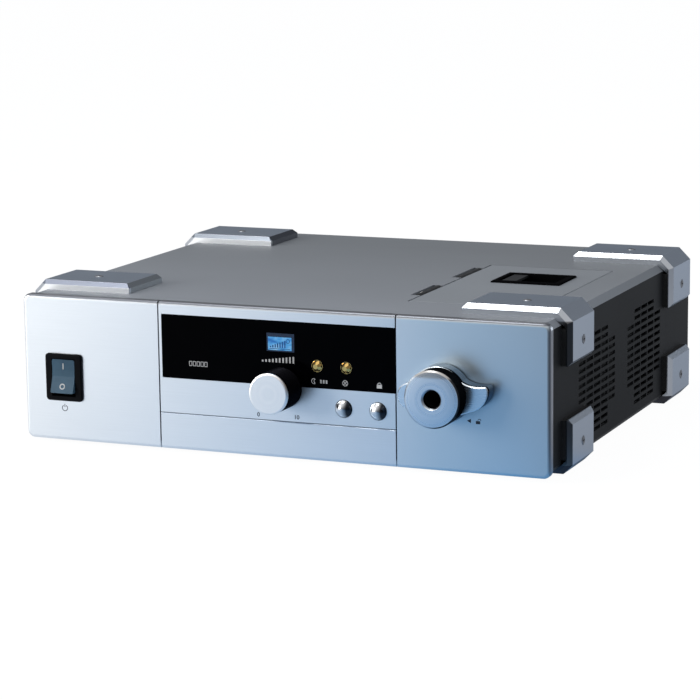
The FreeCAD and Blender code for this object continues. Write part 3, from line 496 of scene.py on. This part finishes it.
panelMarks = {
    "front": -0.05, "thick": 0.06,
    "power": {"x": -152.3, "z": 24.4, "radius": 1.9, "line": 0.5, "start": 120, "sweep": 300,
              "strokeUp": 1.6, "strokeTall": 2.0},
    "digits": (("scale_low", "0", -13.0), ("scale_high", "10", 13.4)),
    "digitZ": 29.8, "digitTall": 2.7,
    "arrow": {"x": 129.0, "z": 35.9, "corners": ((-1.6, 0), (1.0, -1.3), (1.0, 1.3))},
    # an open padlock, measured from the arrow
    "lock": {"x": 5.6, "z": -0.7, "wide": 2.8, "tall": 1.9,
             "shackleX": 6.5, "shackleZ": 0.5, "radius": 0.95, "line": 0.4},
}


def printPanelMarks():
    front, thick = panelMarks["front"], panelMarks["thick"]
    power, arrow, lock = panelMarks["power"], panelMarks["arrow"], panelMarks["lock"]
    bm = bmesh.new()
    addRing(bm, power["x"], power["z"], power["radius"], power["line"], front, thick,
            power["start"], power["sweep"])
    addBar(bm, power["x"], power["z"] + power["strokeUp"], power["line"], power["strokeTall"],
           front, thick)
    addPiece("power_symbol", bm, "chassis", darkInk)

    for name, words, x in panelMarks["digits"]:
        mesh = digitMesh(name, words, x, panelMarks["digitZ"], panelMarks["digitTall"], front)
        rideOn("chassis", name, mesh, darkInk)

    x, z = arrow["x"], arrow["z"]
    bm = bmesh.new()
    outline = [bm.verts.new(spot(x + across, front, z + up)) for across, up in arrow["corners"]]
    grown = bmesh.ops.extrude_face_region(bm, geom=[bm.faces.new(outline)])["geom"]
    bmesh.ops.translate(bm, verts=[part for part in grown if isinstance(part, bmesh.types.BMVert)],
                        vec=(0, thick * milli, 0))
    addPadlock(bm, lock, x, z, lock["line"], front, thick)
    addPiece("release_symbol", bm, "chassis", darkInk)


windowMarks = {
    "front": -0.04, "thick": 0.05, "line": 0.42, "signZ": 53.9,
    "levels": {"left": -9.4, "z": 64.2, "count": 10, "pitch": 2.35, "wide": 1.1,
               "shortest": 1.2, "growth": 0.34},
    "moon": ((25.6, 1.6, 60, 240, 24), (27.2, 1.5, 115, 130, 16)),  # x, radius, start, sweep, steps
    "standbyCells": {"left": 30.4, "count": 3, "pitch": 1.9, "wide": 1.1, "tall": 2.2},
    "lamp": {"x": 46.8, "radius": 1.7, "cross": 3.2},
    "lock": {"x": 69.8, "z": 53.3, "wide": 3.4, "tall": 2.3,
             "shackleX": 69.8, "shackleZ": 54.4, "radius": 1.15},
    "hours": {"left": -60.0, "z": 59.8, "count": 5, "pitch": 2.7, "line": 0.4,
              "wide": 2.0, "endZs": (61.2, 58.4), "tall": 2.8, "sides": (-0.9, 0.9)},
}


def printWindowMarks():
    front, thick, line = windowMarks["front"], windowMarks["thick"], windowMarks["line"]
    signZ, levels, cells = windowMarks["signZ"], windowMarks["levels"], windowMarks["standbyCells"]
    lamp, lock, hours = windowMarks["lamp"], windowMarks["lock"], windowMarks["hours"]
    bm = bmesh.new()
    growingBars(bm, levels, levels["left"], levels["z"], front, thick)
    addPiece("level_scale", bm, "chassis", whiteInk)

    bm = bmesh.new()
    for x, radius, start, sweep, steps in windowMarks["moon"]:
        addRing(bm, x, signZ, radius, line, front, thick, start, sweep, steps)
    for step in range(cells["count"]):
        addBar(bm, cells["left"] + step * cells["pitch"], signZ, cells["wide"], cells["tall"],
               front, thick)
    addRing(bm, lamp["x"], signZ, lamp["radius"], line, front, thick)
    for turn in (45, -45):
        addBar(bm, lamp["x"], signZ, lamp["cross"], line, front, thick, turn)
    addPadlock(bm, lock, 0, 0, line, front, thick)
    for step in range(hours["count"]):  # empty counter cells
        x = hours["left"] + step * hours["pitch"]
        for z in hours["endZs"]:
            addBar(bm, x, z, hours["wide"], hours["line"], front, thick)
        for side in hours["sides"]:
            addBar(bm, x + side, hours["z"], hours["line"], hours["tall"], front, thick)
    addPiece("window_symbols", bm, "chassis", whiteInk)


printPanelMarks()
printWindowMarks()
print("printed marks done")


screen = {
    "x": 2.8, "z": 77.0, "wide": 19.0, "tall": 11.5, "front": 0.42, "thick": 0.16, "film": 0.05,
    "litX": 2.4, "litZ": 76.2, "litWide": 16.2, "litTall": 8.4,
    # measured from the middle of the lit picture
    "base": {"z": -3.3, "wide": 14.2, "line": 0.4},
    "levels": {"left": -6.4, "z": -2.6, "count": 7, "pitch": 1.65, "wide": 0.9,
               "shortest": 1.0, "growth": 0.6},
    "lamp": {"x": 5.6, "z": 1.8, "radius": 1.2, "line": 0.4, "steps": 24},
    "edgeGlow": dict(detail=2, scale=900, strength=0.3,
                     stops=[(0.3, (0.004, 0.010, 0.028)), (0.7, (0.008, 0.020, 0.050))]),
    "pictureGlow": dict(detail=1.5, scale=2.2, strength=0.45,
                        stops=[(0.36, (0.015, 0.11, 0.34)), (0.5, (0.05, 0.24, 0.50)),
                               (0.66, (0.16, 0.36, 0.55))]),
    "segmentGlow": dict(detail=2, scale=500, strength=0.3,
                        stops=[(0.3, (0.006, 0.045, 0.16)), (0.7, (0.012, 0.065, 0.22))]),
}


def glowing(name, stretch=(1, 1, 1), centre=(0, 0, 0)):
    glow = screen[name]
    mat, shader = startFinish(name, glow["stops"][1][1], 0.2)
    cloud = noise(mat, patternSpace(mat, stretch, centre), detail=glow["detail"], scale=glow["scale"])
    colour = ramp(mat, cloud, glow["stops"])
    join(mat, colour, shader.inputs["Base Color"])
    join(mat, colour, shader.inputs["Emission Color"])
    shader.inputs["Emission Strength"].default_value = glow["strength"]
    return mat


def lightScreen():
    x, z, front, film = screen["litX"], screen["litZ"], screen["front"], screen["film"]
    base, levels, lamp = screen["base"], screen["levels"], screen["lamp"]
    pictureSize = (screen["litWide"] * milli, 1, screen["litTall"] * milli)
    bm = bmesh.new()
    addBar(bm, screen["x"], screen["z"], screen["wide"], screen["tall"], front, screen["thick"])
    addPiece("screen_edge", bm, "chassis", glowing("edgeGlow"))
    bm = bmesh.new()
    addBar(bm, x, z, screen["litWide"], screen["litTall"], front - film, film)
    addPiece("screen_picture", bm, "chassis",
             glowing("pictureGlow", pictureSize, spot(x, 0, z)))
    bm = bmesh.new()
    addBar(bm, x, z + base["z"], base["wide"], base["line"], front - 2 * film, film)
    growingBars(bm, levels, x + levels["left"], z + levels["z"], front - 2 * film, film)
    addRing(bm, x + lamp["x"], z + lamp["z"], lamp["radius"], lamp["line"], front - 2 * film, film,
            steps=lamp["steps"])
    addPiece("screen_bars", bm, "chassis", glowing("segmentGlow"))


lightScreen()
print("screen done")


rocker = {
    "x": -151.7, "z": 44.9, "pivotY": 3.5, "tilt": -8.5,
    # the marks on the upright paddle, whose two faces lean
    "front": -2.95, "thick": 0.12, "reach": 6.6, "lean": 7.5,
    "strokeWide": 0.8, "strokeTall": 4.0, "radius": 1.6, "line": 0.75, "steps": 32,
}


def markRocker():
    x, front, thick = rocker["x"], rocker["front"], rocker["thick"]
    bm = bmesh.new()
    for side in (1, -1):  # on above, off below
        z = rocker["z"] + side * rocker["reach"]
        already = set(bm.verts)
        if side > 0:
            addBar(bm, x, z, rocker["strokeWide"], rocker["strokeTall"], front, thick)
        else:
            addRing(bm, x, z, rocker["radius"], rocker["line"], front, thick, steps=rocker["steps"])
        fresh = [vert for vert in bm.verts if vert not in already]
        bmesh.ops.rotate(bm, verts=fresh, cent=spot(0, front, z),
                         matrix=Matrix.Rotation(math.radians(side * rocker["lean"]), 3, "X"))
    bmesh.ops.rotate(bm, verts=bm.verts, cent=spot(0, rocker["pivotY"], rocker["z"]),
                     matrix=Matrix.Rotation(math.radians(rocker["tilt"]), 3, "X"))
    addPiece("rocker_marks", bm, "power_rocker", whiteInk)


markRocker()
print("rocker marks done")


def rayShare(owner, camera=0.0, gloss=0.0):
    # how much of a backdrop a ray sees: the camera's own rays, and those off metal or through glass
    path = addNode(owner, "ShaderNodeLightPath")
    glossy, through = path.outputs["Is Glossy Ray"], path.outputs["Is Transmission Ray"]
    either = calculate(owner, "MAXIMUM", glossy, through)
    mirrored = calculate(owner, "MULTIPLY", either, gloss)
    return calculate(owner, "MULTIPLY_ADD", path.outputs["Is Camera Ray"], camera, mirrored)


def mixShaders(owner, amount, first, second):
    mix = addNode(owner, "ShaderNodeMixShader")
    for target, source in zip(mix.inputs, (amount, first, second)):
        join(owner, source, target)
    return mix.outputs[0]


def backdrop(owner, colour):
    return addNode(owner, "ShaderNodeBackground", color=(*colour, 1)).outputs[0]


room = {
    "tint": (0.90, 0.95, 1.0), "level": 0.40,
    # what metal and glass see of it: white above, half lit in front and on the left, dim behind
    "brightWay": (-0.35, -0.2, 0.9), "brightFrom": 0.15, "brightTo": 1.0,
    "dim": (0.19, 0.20, 0.22), "white": (1.0, 1.0, 1.0),
}


def buildRoom():
    world = bpy.data.worlds.new("studioWorld")
    bpy.context.scene.world = world
    world.use_nodes = True
    sky = world.node_tree.nodes["Background"]
    sky.inputs["Color"].default_value = (*room["tint"], 1)
    sky.inputs["Strength"].default_value = room["level"]
    coords = addNode(world, "ShaderNodeTexCoord")
    facing = addNode(world, "ShaderNodeVectorMath", operation="DOT_PRODUCT")
    facing.inputs[1].default_value = room["brightWay"]
    join(world, coords.outputs["Generated"], facing.inputs[0])
    fade = remap(world, facing.outputs["Value"], 0.0, 1.0, room["brightFrom"], room["brightTo"],
                 "SMOOTHSTEP")
    mirrored = mixShaders(world, fade, backdrop(world, room["dim"]), backdrop(world, room["white"]))
    around = mixShaders(world, rayShare(world, gloss=1.0), sky.outputs[0], mirrored)
    shown = mixShaders(world, rayShare(world, camera=1.0), around, backdrop(world, room["white"]))
    join(world, shown, world.node_tree.nodes["World Output"].inputs["Surface"])


paleFloor = {
    "half": 6.0, "tone": (0.50, 0.54, 0.60), "roughness": 0.9, "fibre": 0.003,
    "shown": 0.9, "glow": 1.08, "glossShown": 0.85,
    # what metal sees of it in front of the panel, from left to right
    "turn": -21.0, "from": -0.175, "to": 0.36,
    "grades": ((0.0, (1.0, 1.0, 1.0)), (0.4, (0.48, 0.615, 0.79)), (0.70, (0.13, 0.33, 0.60)),
               (0.95, (0.02, 0.035, 0.06))),
    # and behind the panel, where it is plain grey
    "behindFrom": -0.15, "behindTo": -0.05, "behindTone": (0.38, 0.395, 0.43),
}


def floorPaper():
    tint = paleFloor["tone"]
    paper, shader = startFinish("paleFloor", tint, paleFloor["roughness"])
    fibre = noise(paper, patternSpace(paper, (paleFloor["fibre"],) * 3), detail=3, rough=0.6)
    tone(paper, shader, fibre, tint, (0.3, 0.97), (0.7, 1.03))
    across = splitAxes(paper, patternSpace(paper, turn=(0, 0, math.radians(paleFloor["turn"]))))["X"]
    grade = remap(paper, across, 0.0, 1.0, paleFloor["from"], paleFloor["to"])
    along = splitAxes(paper, patternSpace(paper))["Y"]
    behind = remap(paper, along, 0.0, 1.0, paleFloor["behindFrom"], paleFloor["behindTo"])
    seen = blendColours(paper, behind, ramp(paper, grade, paleFloor["grades"]), paleFloor["behindTone"])
    mirrored = addNode(paper, "ShaderNodeEmission", strength=1.0)
    join(paper, seen, mirrored.inputs["Color"])
    glow = addNode(paper, "ShaderNodeEmission", strength=paleFloor["glow"])
    lit = mixShaders(paper, rayShare(paper, gloss=paleFloor["glossShown"]), shader.outputs[0],
                     mirrored.outputs[0])
    shown = mixShaders(paper, rayShare(paper, camera=paleFloor["shown"]), lit, glow.outputs[0])
    join(paper, shown, paper.node_tree.nodes["Material Output"].inputs["Surface"])
    return paper


def layFloor():
    bm = bmesh.new()
    bmesh.ops.create_grid(bm, x_segments=1, y_segments=1, size=paleFloor["half"])
    mesh = bpy.data.meshes.new("floor")
    bm.to_mesh(mesh)
    bm.free()
    mesh.materials.append(floorPaper())
    floor = bpy.data.objects.new("floor", mesh)
    bpy.context.scene.collection.objects.link(floor)


# power is in watts
lamps = {
    "key": dict(place=(-1.95, -1.55, 0.7), aim=(0, 0, 0.05), size=(1.2, 1.2), power=46,
                tint=(1.0, 0.99, 0.97), mirrored=True),
    "overhead": dict(place=(-0.45, -0.33, 1.65), aim=(0, 0, 0.1), size=(0.55, 0.45), power=6,
                     tint=(1.0, 1.0, 1.0), mirrored=True),
    "rim": dict(place=(1.3, 1.9, 0.35), aim=(0, 0, 0.05), size=(1.2, 0.6), power=6,
                tint=(0.88, 0.94, 1.0), mirrored=True),
    "fill": dict(place=(1.9, -0.9, 0.9), aim=(0, 0, 0.05), size=(1.0, 1.0), power=3,
                 tint=(0.88, 0.94, 1.0), mirrored=False),
}


def hangLamp(name, place, aim, size, power, tint, mirrored):
    light = bpy.data.lights.new(name, "AREA")
    light.shape = "RECTANGLE"
    light.size, light.size_y = size
    light.energy = power
    light.color = tint
    lamp = bpy.data.objects.new(name, light)
    lamp.location = place
    lamp.rotation_euler = (Vector(place) - Vector(aim)).to_track_quat("Z", "Y").to_euler()
    lamp.visible_camera = False
    lamp.visible_glossy = mirrored
    bpy.context.scene.collection.objects.link(lamp)


# the lens and its sensor are in millimetres
view = {"eye": (0.6661, -1.6138, 0.3733), "backward": (0.38130, -0.90584, 0.18458), "roll": -0.0127,
        "lens": 133.85, "sensor": 36, "near": 0.05, "far": 50}


def setCamera():
    lens = bpy.data.cameras.new("camera")
    lens.lens = view["lens"]
    lens.sensor_width = view["sensor"]
    lens.clip_start = view["near"]
    lens.clip_end = view["far"]
    camera = bpy.data.objects.new("camera", lens)
    aim = Vector(view["backward"]).to_track_quat("Z", "Y") @ Quaternion((0, 0, 1), view["roll"])
    camera.matrix_world = Matrix.Translation(view["eye"]) @ aim.to_matrix().to_4x4()
    bpy.context.scene.collection.objects.link(camera)
    bpy.context.scene.camera = camera


bpy.context.scene.view_settings.view_transform = "Standard"
buildRoom()
layFloor()
for lampName, lampValues in lamps.items():
    hangLamp(lampName, **lampValues)
setCamera()
print("studio done")
